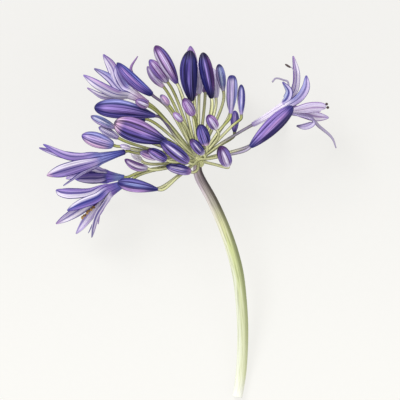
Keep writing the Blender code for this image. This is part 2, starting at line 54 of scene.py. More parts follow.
PIXEL = 0.56 * MM
ORIGIN_PIXEL = (239.2, 388.0)
PICTURE_CENTRE = (200.0, 200.0)
PICTURE_PIXELS = 400

# The stem and its flower head, as in the part.
HUB = (198.5, 160.5, 38.0)
UMBEL_AXIS = Vector((-0.32, 0.94, 0.12)).normalized()
RECEPTACLE_RADIUS = 3.3 * MM
RECEPTACLE_LENGTH = 4.2 * MM
PEDICEL_RADIUS = 0.85 * MM
PEDICEL_END = 0.8 * MM
PEDICEL_END_PULL = 0.6

SCAPE = [
    (198.4, 160.5, 38, 2.1),
    (197.4, 168, 37.5, 2.4),
    (199.9, 178, 36.7, 2.8),
    (212, 200, 34, 3),
    (222.8, 224, 30, 3.15),
    (231.4, 248, 25.8, 3.3),
    (237.6, 272, 21.2, 3.3),
    (241, 298, 16.2, 3.2),
    (242.8, 326, 10.8, 3.15),
    (242.6, 352, 6.2, 3.05),
    (241.2, 374, 3.4, 2.95),
    (239.2, 388, 2.7, 2.85),
    (237.5, 398, 2.6, 2.8),
]

# Swell, taper and neck of a bud's outline.
FORMS = {
    "club": (0.85, 0.38, 0.22),
    "full": (1.0, 0.55, 0.15),
    "lens": (0.8, 0.55, 0.16),
    "spindle": (0.75, 0.62, 0.3),
    "young": (0.62, 0.6, 0.25),
}

# How many buds each group has, in the order of all tables of buds.
BUD_COUNTS = {"top": 13, "front": 10, "left": 12, "right": 1, "under": 10}
BUD_NAMES = [f"bud_{group}_{i + 1}" for group, count in BUD_COUNTS.items() for i in range(count)]

# A bud is (form, base, tip, width and sideways bow in millimetres, place its pedicel passes). Its
# last two may be left out.
BUD_ROWS = [
    # Top
    ("lens", (177.4, 84.2, 45), (155.2, 45.8, 49), 8, 0.3),
    ("spindle", (167.6, 82.3, 39), (149.4, 59.6, 38), 6.7),
    ("spindle", (164, 87.4, 33), (147.1, 66, 31), 4.5, -1),
    ("lens", (192, 101.8, 47), (189.8, 50.6, 54), 10.4, -1.2),
    ("spindle", (194.4, 97, 27), (190.3, 45.7, 31), 7.4),
    ("lens", (211.8, 99.3, 49), (202.7, 52.7, 55), 8.1),
    ("spindle", (199, 94.6, 36), (200, 60, 36), 5.8),
    ("spindle", (205.2, 93, 30), (206, 62, 24), 6.2),
    ("lens", (223.5, 91.8, 42), (218.8, 64.1, 44), 5.5),
    ("spindle", (216, 98.2, 34), (212.5, 68, 32), 6),
    ("club", (230.6, 114.5, 48), (232, 75.2, 49), 6.5, 0.3, (218.6, 131.4, 44)),
    ("lens", (241.3, 116, 47), (241.2, 84.5, 46), 4.6, 0, (230.5, 127.5, 45)),
    ("lens", (234.5, 133.1, 36), (235, 110.5, 38), 5, 0, (219, 146, 36)),
    # Front
    ("young", (193.4, 115.5, 62), (183.7, 98.7, 67), 6.2),
    ("young", (216.4, 129.3, 60), (207.8, 115.3, 64), 6.2, 0, (217, 139.5, 53)),
    ("young", (206.4, 145.1, 65), (199.8, 125, 73), 7.2),
    ("young", (203.1, 154.3, 60), (190.4, 139.5, 66), 5.8),
    ("young", (168.9, 105.3, 57), (160.7, 95.1, 60), 4),
    ("young", (182.1, 121.6, 60), (173.5, 113, 63), 4),
    ("young", (148.2, 106.2, 55), (135.6, 100.8, 58), 5.2),
    ("young", (188.4, 162.1, 60), (160.4, 141, 70), 7.8),
    ("young", (191.2, 172, 48), (166, 166, 50), 6.2, 0, (197.5, 169.5, 45)),
    ("young", (228, 165.8, 47), (220.4, 146.6, 57), 7.6, 0, (214, 164.3, 42)),
    # Left
    ("spindle", (152.6, 95.3, 51), (116.9, 62.9, 53), 6.9, -1.2, (171, 112, 49)),
    ("full", (156.4, 116.2, 50), (94.4, 107.4, 53), 11.2, 1, (178, 140, 47)),
    ("full", (168, 142.3, 58), (114.4, 122.8, 63), 13.8),
    ("spindle", (115, 128, 43), (90.7, 116, 41), 5),
    ("spindle", (118.9, 138.2, 40), (98.6, 127, 38), 4.8, 0, (145.3, 147.8, 40)),
    ("spindle", (113.7, 145.4, 45), (81.7, 135.3, 46), 8.8, 0, (131, 148.2, 45)),
    ("young", (131, 148.4, 48.5), (120, 145.5, 50), 2.9),
    ("young", (166.7, 160, 56), (147.7, 149.5, 59), 6.2),
    ("young", (158, 158, 49.5), (140, 152.3, 51), 5.2),
    ("young", (147.8, 168.6, 45), (124.6, 159.4, 47), 5.2, -1.2),
    ("young", (142, 161, 36), (131, 153, 34), 3.6),
    ("full", (159.2, 189.7, 52), (117.6, 182.6, 56), 7.9, 0, (178, 177, 45.5)),
    # Right
    ("lens", (249.6, 147.6, 49), (292.8, 106.3, 54), 9.4, 0, (222, 156, 41)),
    # Under
    ("spindle", (146, 119, 26), (107, 109, 16), 7),
    ("spindle", (160, 137, 20), (119, 130, 7), 7.6),
    ("spindle", (192, 98, 18), (190, 60, 9), 6.8),
    ("spindle", (211, 96, 13), (203, 60, 0.55), 7),
    ("spindle", (175.5, 79.7, 19), (157.5, 50.2, 0), 6.4),
    ("spindle", (230.4, 110, 24), (231.8, 80, 12), 5.4),
    ("spindle", (254, 142.5, 20), (285, 113, 0.08), 7.2),
    ("spindle", (184, 158.6, 16), (163, 143, 5), 6.4),
    ("spindle", (154, 188.4, 18), (119, 183.6, 0.06), 6.6),
    ("spindle", (203, 182, 21), (212.5, 203, 9), 5),
]


def full_row(form, base, tip, width, bow=0, passed=None):
    return form, base, tip, width, bow, passed


BUDS = {name: full_row(*row) for name, row in zip(BUD_NAMES, BUD_ROWS)}

# The right flower's lower tepal, which curls back under it.
CURLED_BACK = (
    (299, 115, 33.5),
    (311, 118, 34),
    (313, 123, 34),
    (305, 126.5, 34.5),
    (296.5, 126, 35),
)

# A tepal is (angle round the tube, angle its face turns to, width in millimetres, places to its tip).
# A stamen is (length of its anther in millimetres, or 0 for a bare end, places to its end). Swing is
# how far the anthers turn from their filaments in degrees, to one side and the other in turn.
LEFT = {
    "base": (125.7, 151.6, 42.5),
    "throat": (101, 158.3, 43),
    "radii": (1.5, 3.4),
    "pedicel": (140, 153.5, 41.5),
    "tepals": [
        (45, 20, 5, ((80, 157, 46), (64, 154.8, 47), (43.4, 144.4, 46))),
        (-15, -15, 8, ((80, 165.8, 48), (62, 171, 49), (47, 175.6, 46))),
        (-75, -75, 5, ((88, 169.5, 43.5), (75, 178, 42.5), (63.5, 186, 41))),
        (-135, -150, 6, ((86, 169, 38), (76, 174, 36), (66, 178.5, 33))),
        (165, 165, 5.6, ((80, 165, 36), (66, 169, 33), (54, 172.5, 30))),
        (105, 140, 5.6, ((82, 156, 39), (62, 154.5, 37), (39.1, 147.8, 36))),
    ],
    "style": ((80, 163, 42), (62, 170, 39)),
}
LOWER_LEFT = {
    "base": (128.5, 181.5, 39),
    "throat": (111, 189.6, 37.5),
    "radii": (1.5, 3.6),
    "pedicel": (146, 172.5, 40),
    "tepals": [
        (75, 20, 6.4, ((90, 191.8, 40), (72, 193.4, 42), (62, 192.5, 41), (56, 190, 38))),
        (15, 15, 6, ((97, 197.5, 44), (81, 204, 45), (67.3, 210.4, 43))),
        (-45, -60, 5.4, ((104.5, 204.6, 40), (96.6, 218, 38), (91.8, 237.5, 32))),
        (-105, -105, 5.4, ((104, 204, 32), (95, 219, 28), (88.5, 233, 23))),
        (-165, -165, 6.2, ((99, 203, 29), (87, 219, 23), (75.9, 233.9, 19))),
        (135, 150, 7, ((92, 200, 30), (74, 213, 24), (55.8, 223.8, 20))),
    ],
    "swing": 50,
    "stamens": [
        (2, ((82.3, 217.6, 38),)),
        (2, ((84.5, 215.6, 39),)),
        (2, ((87.2, 213, 40),)),
        (2, ((88.5, 211, 41),)),
        (2, ((91.3, 209.5, 40.5),)),
        (2, ((93.5, 207.3, 40),)),
    ],
    "style": ((102, 205, 36), (98, 224, 32)),
}
HALF_OPEN = {
    "base": (124.5, 177.3, 31),
    "throat": (109.5, 176.8, 28.5),
    "radii": (1.4, 3.3),
    "pedicel": (145, 170.6, 35),
    "tepals": [
        (0, 0, 6.4, ((99, 178, 32), (88, 178.2, 32), (75, 179, 29))),
        (60, 40, 4.6, ((102, 171.2, 30), (94, 168.8, 29), (85, 170.4, 27))),
        (120, 120, 5.6, ((102, 172.5, 24.5), (93, 170.5, 22.5), (83, 171.5, 21))),
        (180, 180, 5.6, ((100, 177.5, 22.5), (88, 178, 20.5), (77, 178, 19.5))),
        (-120, -120, 4.6, ((101, 180.5, 24), (90, 180.5, 22.5), (80, 180, 22))),
        (-60, -40, 4.6, ((101, 180.5, 29), (90, 180.5, 28), (79.5, 180, 26))),
    ],
}
UPPER_LEFT = {
    "base": (148.5, 103.5, 42),
    "throat": (131, 93.5, 40),
    "radii": (1.5, 3.6),
    "pedicel": (172, 127, 42),
    "tepals": [
        (90, 60, 5.2, ((133, 83, 37), (128, 75, 36), (123, 67, 35))),
        (30, 30, 5.4, ((124.5, 86, 42), (118.5, 75.5, 43), (115.6, 65.8, 42))),
        (-30, -30, 6.4, ((115, 93.5, 44), (99, 85.6, 45), (83.4, 75.2, 44))),
        (-90, -60, 5.4, ((115, 98.5, 38), (101, 95.8, 38), (87, 88, 37))),
        (-150, -150, 5, ((118, 88, 34), (108, 77, 33), (94.1, 68.5, 34))),
        (150, 150, 7.5, ((118.5, 85, 34), (112.3, 68, 34), (103.3, 54.2, 35))),
    ],
    "style": ((134, 78, 40), (131, 68, 41), (137.7, 56.4, 43)),
}
RIGHT = {
    "base": (251.5, 125.4, 36),
    "throat": (283.5, 107.5, 34),
    "radii": (1.4, 3.2),
    "pedicel": (220.5, 143.9, 40),
    "tepals": [
        (-60, -15, 5, ((286.3, 99.5, 37), (289, 91, 38.5), (282.5, 82, 40))),
        (0, 0, 5, ((298, 99, 39.5), (305.6, 88, 41), (306.3, 75.5, 40))),
        (60, 30, 6.8, ((300, 109.5, 39), (312, 107.4, 41), (321.5, 107.2, 41), (325.3, 108.5, 39))),
        (120, -40, 5, CURLED_BACK),
        (180, 180, 6.4, ((301, 112, 29), (315, 116, 27), (329, 117.5, 24))),
        (-120, -150, 5.2, ((293.5, 92, 31), (296.6, 75, 30), (293.1, 55.8, 30))),
    ],
    "stamens": [
        (1.6, ((312, 106.5, 36.5), (326.6, 104.1, 38.5))),
        (1.6, ((312, 109.5, 36), (327.8, 107.5, 37.5))),
        (0, ((288.5, 84, 34), (283, 79.8, 34.5), (276, 78.3, 35.5), (272.3, 82, 36.5))),
        (4, ((295.5, 79, 33), (292.6, 68.6, 32.5), (288, 65.8, 32))),
        (1.6, ((314, 111, 33),)),
    ],
    "style": ((305, 116, 31), (320, 127, 29.5), (331.9, 137.5, 28.5), (336.3, 148.1, 27.5)),
}
FLOWERS = {
    "flower_left": LEFT,
    "flower_lower_left": LOWER_LEFT,
    "flower_half_open": HALF_OPEN,
    "flower_upper_left": UPPER_LEFT,
    "flower_right": RIGHT,
}

# Proportions that the part has too.
NECK_FADE = 4
BUD_LOBES = 6
BUD_LOBE_DEPTH = 0.05
TEPALS = 6
TEPAL_TIP_WIDTH = 0.8 * MM
TEPAL_WIDEST = 0.5
TEPAL_KEEL = 0.09
TEPAL_TURNED = 0.4
TEPAL_SHOULDER = 2.2
TEPAL_TAPER = 0.9
FLARE_DEGREES = 24
TUBE_SWELL = 1.3
FILAMENT_ROOT_SHARE = 0.44
FILAMENT_INNER_SHARE = 0.1

# Detail that only these finer pieces have: buds, then flowers, then the green stem. A grid is a
# number of rings and of sides.
BUD_GRID = (72, 96)
SMALL_BUD_GRID = (48, 60)
SMALL_BUD_WIDTH = 6.3
BUD_BASE_ROUND = 0.035
BASE_FADE = 0.26
FULL_BASE_FADE = 0.42
SEAM_DEPTH = 0.05
SEAM_HALF_ANGLE = math.radians(5)
STREAK_DEPTH = 0.006 * MM
STREAKS_ROUND = (7, 13, 22, 37)
BUD_STREAKS = 0.16

COLUMNS = 8
ACROSS = np.linspace(-1, 1, 2 * COLUMNS + 1)
STATIONS_PER_SPAN = 12
TUBE_LEVELS = 22
TUBE_GROOVE = 0.0125
TUBE_BASE_ROUND = 0.05
TUBE_BASE_OPEN = 0.004
TEPAL_THICKNESS = 0.35 * MM
WELD_DISTANCE = 0.002 * MM
ROOT_FADE = 0.22
RIB_DEPTH = 0.16 * MM
RIB_WIDTH = 0.16
RIPPLES = 5
RIPPLE_DEPTH = 0.9 * MM * np.abs(ACROSS) ** 3 * np.where(ACROSS > 0, 1, -0.7)
PETAL_STREAKS = 0.1
FILAMENT_RADIUS = 0.32 * MM
BARE_FILAMENT_RADIUS = 0.6 * MM
FILAMENT_TAPER = 0.8
FILAMENT_STEPS = 10
FILAMENT_SIDES = 10
STYLE_RADIUS = 1.1 * MM
STYLE_START = 0.45
STYLE_SWELL = 0.9
STYLE_TAPER = 0.3
STYLE_STEPS = 12
STYLE_SIDES = 12
ANTHER_RADIUS = 0.95 * MM
LONG_ANTHER = 3 * MM
LONG_ANTHER_RADIUS = 0.75 * MM
ANTHER_PINCH = 0.22
ANTHER_GRID = (12, 16)
ANTHER_UNDERSIDE = 0.55

SCAPE_SIDES = 64
SCAPE_STEPS = 12
SCAPE_SHADE = 0.97
KNOB_GRID = (24, 40)
KNOB_BUMPS = 9
KNOB_BUMP_DEPTH = 0.05
PEDICEL_SIDES = 20
PEDICEL_STEPS = 22
PEDICEL_SLIMNESS = 0.97
PEDICEL_HUB_FLARE = 0.3
PEDICEL_BUD_FLARE = 0.12
# Painted light on each pedicel's top.
PEDICEL_TOP_LIGHT = 1.12
STRIATION_LENGTH = 12 * MM
# The side away from the window light, which is given painted shade on the pedicels.
AWAY_FROM_WINDOW = (0.62, -0.72, -0.3)


def srgb(red, green, blue):
    """A screen colour as linear light."""
    value = np.array((red, green, blue)) / 255
    return np.where(value <= 0.04045, value / 12.92, ((value + 0.055) / 1.055) ** 2.4)


PALETTE = {
    "ink": (20, 15, 52),
    "navy": (32, 32, 98),
    "deep": (48, 41, 110),
    "indigo": (72, 66, 134),
    "blue": (78, 86, 160),
    "steel": (128, 140, 190),
    "sky": (176, 184, 218),
    "violet": (96, 80, 156),
    "purple": (120, 98, 164),
    "plum": (84, 48, 106),
    "mauve": (156, 122, 178),
    "lilac": (170, 152, 202),
    "pale": (210, 198, 232),
    "pink": (204, 166, 200),
    "white": (232, 224, 238),
    "slate": (118, 122, 182),
    # iris is only for the half-open flower: painted light that lifts it out of the shade it lies in.
    "iris": (134, 114, 216),
    "grey": (174, 164, 192),
    "dusk": (100, 88, 124),
    "leaf": (196, 200, 132),
    "olive": (96, 98, 48),
    "moss": (166, 170, 104),
    "bark": (92, 84, 74),
    "straw": (220, 220, 174),
    "ochre": (190, 156, 104),
    "umber": (88, 56, 44),
    "soot": (80, 74, 78),
    # cream is painted light on the pedicels at the hub, against the shade among them.
    "cream": (236, 234, 214),
}
COLOURS = {name: srgb(*colour) for name, colour in PALETTE.items()}

# A bud's colours: base, body, tip, seams, middle rib, then its left and right side as it points.
# The rib is partly a painted highlight along the top, the sides partly painted light and shade.
BUD_ROW_LOOKS = [
    # Top
    "violet mauve plum plum pale grey indigo",
    "grey mauve violet plum pale purple mauve",
    "pink grey dusk mauve pale dusk pale",
    "ink deep ink ink violet indigo navy",
    "mauve mauve mauve purple pink purple mauve",
    "ink deep ink ink purple navy plum",
    # bud_top_7 is paler than its own colour: painted light against the shade of the buds above it.
    "pale pale pale lilac white pale pale",
    "mauve lilac violet violet pale purple lilac",
    "pale steel ink indigo sky lilac slate",
    # bud_top_10 likewise: painted light against the shade above it.
    "pale pale pale lilac white pale pale",
    "lilac grey navy indigo lilac lilac slate",
    "lilac slate navy indigo pale lilac deep",
    "deep purple violet deep lilac violet indigo",
    # Front
    "mauve mauve plum plum grey mauve dusk",
    "white lilac plum plum pale purple mauve",
    "pink indigo deep ink purple violet deep",
    "pale violet plum ink pale purple indigo",
    "grey pink dusk dusk pink grey mauve",
    "mauve pale mauve mauve pale mauve mauve",
    "pink grey mauve plum pale mauve purple",
    "purple violet deep ink pale purple indigo",
    "mauve violet deep navy pale lilac indigo",
    "white lilac plum plum white purple violet",
    # Left
    "navy violet deep deep mauve purple blue",
    "indigo purple deep navy purple indigo slate",
    "navy violet pink ink mauve deep mauve",
    "lilac steel dusk indigo white lilac steel",
    "lilac pale violet indigo white pale pale",
    "slate lilac purple indigo lilac pink slate",
    "pale white lilac mauve white pale lilac",
    "violet violet plum ink mauve lilac deep",
    "purple mauve lilac violet pink pink purple",
    "grey grey plum plum pink mauve plum",
    # bud_left_11 is paler than its own colour: painted light against the shade it lies in.
    "white white pale white white white white",
    "navy indigo deep navy steel mauve indigo",
    # Right
    "navy purple deep deep mauve purple ink",
    # Under
    "navy indigo deep navy purple deep blue",
    "indigo mauve plum violet pale violet lilac",
    "navy violet deep navy lilac indigo purple",
    "indigo lilac plum violet white mauve purple",
    "navy indigo ink navy purple deep blue",
    "slate sky navy slate white slate blue",
    "navy violet deep indigo mauve blue navy",
    "grey mauve violet plum pale purple mauve",
    "navy indigo deep navy blue mauve deep",
    "pink lilac plum violet pale mauve purple",
]
BUD_LOOKS = dict(zip(BUD_NAMES, BUD_ROW_LOOKS))

# A flower's tube from its base to its throat, with its style, anthers and filaments if it has them,
# then each tepal's colours: root, body, tip, middle rib, left side and right side as it points.
# The tepals' side colours are partly their own colour and partly painted light and shade.
FLOWER_LOOKS = {
    "flower_left": [
        "deep blue slate lilac",
        "slate lilac violet deep purple lilac",
        "lilac lilac pink deep purple white",
        "blue pale pale blue pale lilac",
        "blue pale lilac purple pale pale",
        "blue pale pink purple pale pale",
        "blue lilac purple violet lilac pale",
    ],
    "flower_lower_left": [
        "indigo blue purple lilac ochre plum",
        "purple lilac violet deep white purple",
        "lilac blue indigo deep purple white",
        "pale lilac indigo white purple indigo",
        "lilac lilac violet violet lilac slate",
        "lilac pale purple white violet lilac",
        "pale white mauve violet lilac white",
    ],
    "flower_half_open": [
        # Lighter and bluer than its own colours: painted light against the shade of the flower above
        # it.
        "blue steel iris",
        "blue lilac iris deep pale violet",
        "blue pale lilac violet white lilac",
        "indigo violet purple indigo violet violet",
        "indigo violet purple indigo violet violet",
        "indigo violet purple indigo violet violet",
        "blue iris violet indigo iris violet",
    ],
    "flower_upper_left": [
        "mauve pink white mauve",
        "pink lilac purple indigo pale mauve",
        "white lilac violet indigo pale slate",
        "white white purple violet white mauve",
        "white white mauve purple lilac white",
        "white pale dusk indigo slate pale",
        "white white purple purple mauve white",
    ],
    "flower_right": [
        "lilac white white grey soot grey",
        "lilac slate violet indigo sky pale",
        "white pale indigo indigo slate lilac",
        "white white lilac mauve pale pale",
        "pale pale ink lilac pale dusk",
        "white white lilac mauve white pale",
        "white white mauve purple white mauve",
    ],
}

# A pedicel's top and sides at its bud, with those that have them. At the hub all are green, and the
# others are green all along.
# The side colour is partly the pedicel's own colour and partly painted shade at its sides.
GREEN_PEDICEL = "straw moss"
PEDICEL_GROUPS = {
    "dusk bark": "bud_left_1 bud_left_2",
    "moss bark": "bud_top_2 bud_top_3",
    "grey bark": "bud_right_1 bud_under_7 flower_right",
    "moss olive": """
        bud_front_1 bud_front_5 bud_front_7 bud_left_3 bud_left_4 bud_left_5 bud_left_6
        bud_top_11 bud_top_12 bud_top_13 bud_under_1 bud_under_2
        flower_half_open flower_left flower_lower_left flower_upper_left
    """,
}
PEDICEL_LOOKS = {name: look for look, names in PEDICEL_GROUPS.items() for name in names.split()}

# Along the scape, from the hub down: place on the plan, middle, left edge and right edge.
# The edge colours are partly the scape's own colour and partly painted light on the left and painted
# shade on the right.
SCAPE_LOOKS = [
    (160.5, (158, 144, 148), (216, 200, 214), (84, 72, 76)),
    (182.0, (158, 146, 148), (220, 204, 218), (72, 64, 66)),
    (204.0, (166, 162, 146), (222, 214, 204), (88, 84, 70)),
    (222.0, (202, 202, 156), (230, 228, 204), (128, 130, 96)),
    (246.0, (196, 203, 146), (228, 230, 200), (130, 136, 96)),
    (285.0, (199, 205, 158), (220, 224, 198), (150, 157, 112)),
    (335.0, (206, 210, 174), (222, 226, 204), (176, 182, 136)),
    (375.0, (217, 220, 190), (228, 231, 212), (204, 208, 168)),
    (398.0, (236, 237, 224), (240, 240, 232), (240, 240, 232)),
]

# The paper's colours at the cut end and beyond the flowers, where the one fades into the other in
# metres from the origin, and how much it glows.
PAPER_LOW = (*srgb(253, 252, 248), 1.0)
PAPER_HIGH = (*srgb(244, 243, 240), 1.0)
PAPER_GRAIN = (*srgb(214, 212, 206), 1.0)
PAPER_BLACK = (0.0, 0.0, 0.0, 1.0)
PAPER_FADE = (-0.02, 0.2)
PAPER_GLOW = 0.794
PAPER_MATT = 0.14
PAPER_GRAIN_SCALE = (300.0, 300.0, 300.0)
FLOOR_HALF = 14.0
FLOOR_HEIGHT = -0.05 * MM
FLOOR_CORNERS = ((-1, -1), (1, -1), (1, 1), (-1, 1))

# How much lighter the painted highlight strokes are, the relief of the noise, and its layers.
GLINT = 1.5
GLINT_LIFT = (0.09, 0.085, 0.11)
GLINT_MOST = (0.7, 0.68, 0.75)
RELIEF_HEIGHT = 0.08 * MM
FINE_DETAIL = 3.0
BROAD_DETAIL = 2.0

# Each light's place, size and power, in metres and watts.
LIGHTS = {
    "window": ((-1.3, 1.5, 2.2), 1.2, 59.0),
    "bounce": ((1.8, -0.6, 1.6), 1.8, 9.0),
}
ROOM_COLOUR = (1.0, 0.995, 0.98, 1.0)
ROOM_STRENGTH = 0.84
CAMERA_DISTANCE = 8.0
CAMERA_REACH = 100.0
CAMERA_SENSOR = 36.0


def at(place):
    """A place on the plan, in metres."""
    across, down, height = place
    return Vector(
        ((across - ORIGIN_PIXEL[0]) * PIXEL, (ORIGIN_PIXEL[1] - down) * PIXEL, height * MM)
    )


def smooth_path(points, first_tangent, last_tangent, steps):
    """Points on a smooth curve through the given points, with a number of steps to each span."""
    middle_tangents = [(after - before) / 2 for before, after in zip(points, points[2:])]
    tangents = [first_tangent, *middle_tangents, last_tangent]
    path = [points[0].copy()]
    for start, end, leaving, arriving in zip(points, points[1:], tangents, tangents[1:]):
        for step in range(1, steps + 1):
            t = step / steps
            path.append(
                start * (2 * t**3 - 3 * t**2 + 1)
                + leaving * (t**3 - 2 * t**2 + t)
                + end * (3 * t**2 - 2 * t**3)
                + arriving * (t**3 - t**2)
            )
    return path


def frame_along(direction):
    """A rotation that turns +Z to a direction, with its +X kept as near world up as it can be."""
    along = direction.normalized()
    across = (Vector((0, 0, 1)) - along * along.z).normalized()
    return Matrix((across, along.cross(across), along)).transposed()


def stack(*parts):
    """Arrays spread to one shape and set side by side, as a new last axis."""
    return np.stack(np.broadcast_arrays(*parts), axis=-1)


def angles_round(sides):
    return np.arange(sides) * 2 * math.pi / sides


def around(angle, radius, height):
    """Points at an angle and a distance from an axis, and a height along it."""
    return stack(np.cos(angle) * radius, np.sin(angle) * radius, height)


def angles_of_ball(rings, sides):
    """Each ring's angle from the first pole, and each side's angle round the ball."""
    return np.linspace(0, math.pi, rings + 2)[1:-1, None], angles_round(sides)


def rise(value, start, end):
    """0 up to start and 1 from end on, with a smooth step between them. It falls if end is less."""
    share = np.clip((value - start) / (end - start), 0, 1)
    return share * share * (3 - 2 * share)


def ridge(value, half_width):
    """1 at zero, and nearly nothing at twice the half width."""
    return np.exp(-((value / half_width) ** 2))


def rounding(u, length):
    """A factor on a radius that rounds its start, up to a length."""
    return np.sqrt(1 - np.clip(1 - u / length, 0, 1) ** 2)


def layers(colour, *others):
    """A colour under others, which are each given with their share."""
    for other, share in others:
        share = np.asarray(share)[..., None]
        colour = colour * (1 - share) + other * share
    return colour


def blend(first, second, share):
    return layers(first, (second, share))


def colours_of(look):
    return [COLOURS[name] for name in look.split()]


def look_of(tint, ink, place, seed):
    """The tint, line colour, place among the lines and seed of each point, side by side."""
    columns = [column for part in (tint, ink, place) for column in np.moveaxis(part, -1, 0)]
    return stack(*columns, seed)


# What each point holds, with its first and last column in a look.
ATTRIBUTES = (
    ("tint", "FLOAT_VECTOR", 0, 3),
    ("ink", "FLOAT_VECTOR", 3, 6),
    ("place", "FLOAT_VECTOR", 6, 9),
    ("seed", "FLOAT", 9, 10),
)
LOOK_COLUMNS = 10
# A place among the lines where a petal has none, for filaments, anthers and styles.
UNLINED = np.array((0.5, 0.5, 0.0))


def add_object(name, data):
    thing = bpy.data.objects.new(name, data)
    bpy.context.scene.collection.objects.link(thing)
    return thing


def add_skin(node, mesh):
    """A mesh as the piece that stands for a node."""
    mesh.name = node + "_skin"
    return add_object(mesh.name, mesh)


class Shape:
    """Grids of points with their looks, gathered into one mesh."""

    def __init__(self):
        self.points = []
        self.faces = []
        self.looks = []

    def add_points(self, points, looks):
        """Adds points and returns the index of the first."""
        first = sum(len(earlier) for earlier in self.points)
        self.points.append(np.reshape(points, (-1, 3)))
        self.looks.append(np.reshape(looks, (-1, LOOK_COLUMNS)))
        return first

    def add_grid(self, points, looks, closed=True, start=None, end=None):
        """Rows of points. start and end are the poles that close the first and the last row."""
        rows, columns = points.shape[:2]
        looks = np.broadcast_to(looks, (rows, columns, LOOK_COLUMNS))
        first = self.add_points(points, looks)
        index = first + np.arange(rows * columns).reshape(rows, columns)
        after = np.roll(index, -1, axis=1)
        if not closed:
            index, after = index[:, :-1], index[:, 1:]
        quads = np.stack((index[:-1], after[:-1], after[1:], index[1:]), axis=-1)
        self.faces.extend(quads.reshape(-1, 4).tolist())
        for place, row, turned in ((start, 0, -1), (end, -1, 1)):
            if place is not None:
                pole = self.add_points(place, looks[row].mean(axis=0))
                edges = zip(index[row].tolist(), after[row].tolist())
                self.faces.extend([(*edge[::turned], pole) for edge in edges])

    def mesh(self):
        mesh = bpy.data.meshes.new("shape")
        mesh.from_pydata(np.concatenate(self.points).tolist(), [], self.faces)
        looks = np.concatenate(self.looks)
        for attribute, kind, low, high in ATTRIBUTES:
            layer = mesh.attributes.new(attribute, kind, "POINT")
            values = looks[:, low:high].astype(np.float32).ravel()
            layer.data.foreach_set("value" if kind == "FLOAT" else "vector", values)
        mesh.update()
        mesh.shade_smooth()
        return mesh


def add_ball(shape, centre, direction, radius, half_length, polar, angle, looks):
    """A long ball, whose radius may change from point to point."""
    turn = np.array(frame_along(direction))
    centre = np.array(centre)
    points = around(angle, np.sin(polar) * radius, -np.cos(polar) * half_length)
    pole = turn[:, 2] * half_length
    shape.add_grid(points @ turn.T + centre, looks, start=centre - pole, end=centre + pole)


def add_tube(shape, path, radii, sides, colours, seed=0, lined=True):
    """A tube along a path. colours(share, normals) gives each point's tint and line colour."""
    tangent = (path[1] - path[0]).normalized()
    side = frame_along(tangent).col[0].copy()
    angles = angles_round(sides)
    normals = []
    for index in range(len(path)):
        ahead = (path[min(index + 1, len(path) - 1)] - path[max(index - 1, 0)]).normalized()
        side = tangent.rotation_difference(ahead) @ side
        tangent = ahead
        normals.append(np.outer(np.cos(angles), side) + np.outer(np.sin(angles), tangent.cross(side)))
    normals = np.array(normals)
    points = np.array(path)[:, None] + normals * np.reshape(radii, (-1, 1, 1))
    share = np.linspace(0, 1, len(path))[:, None]
    tint, ink = colours(share, normals)
    along = share * (path[0] - path[-1]).length / STRIATION_LENGTH
    place = around(angles, 1, along) if lined else UNLINED
    looks = look_of(tint, ink, place, seed)
    shape.add_grid(points, looks, start=np.array(path[0]), end=np.array(path[-1]))


def streaks(angle, u, seed):
    """Fine lines that run along a bud or a petal, between -1 and 1."""
    random = np.random.default_rng(seed)
    total = np.zeros(np.broadcast(angle, u).shape)
    for frequency in STREAKS_ROUND:
        drift, phase = random.uniform(-1.5, 1.5), random.uniform(0, 2 * math.pi)
        total += np.sin(frequency * angle + drift * u * 3 + phase)
    return total / len(STREAKS_ROUND)


def bud_radius(u, width, form):
    swell, taper, neck = FORMS[form]
    peak = swell / (swell + taper)
    highest = peak**swell * (1 - peak) ** taper
    belly = u**swell * (1 - u) ** taper / highest
    return width / 2 * (belly + neck * (1 - u) ** NECK_FADE)


def bud_colours(look, u, angle, fade, seed):
    """u runs to the bud's tip. fade is how far up the bud its base colour reaches."""
    base, body, tip, seam, rib, left, right = colours_of(look)
    across = np.sin(angle)
    sides = 0.9 * rise(u, 0.1, 0.04 + fade)
    middle = 0.85 * ridge(across - 0.06, 0.17) * rise(u, 0.2, 0.2 + fade) * rise(u, 0.95, 0.75)
    # The side colours and the rib band are partly the bud's own colours and partly painted light,
    # shade and highlight.
    colour = layers(
        base,
        (body, rise(u, 0.04, 0.04 + fade)),
        (left, sides * rise(-across, 0.22, 0.62)),
        (right, sides * rise(across, 0.22, 0.62)),
        (rib, middle),
        (tip, rise(u, 0.82, 0.96)),
        (seam * 0.6, 0.8 * rise(u, 0.95, 0.99)),
    )
    tint = colour * (1 + BUD_STREAKS * streaks(angle, u, seed))[..., None]
    return look_of(tint, blend(seam, COLOURS["ink"], 0.4), stack(np.cos(angle), across, u), seed)


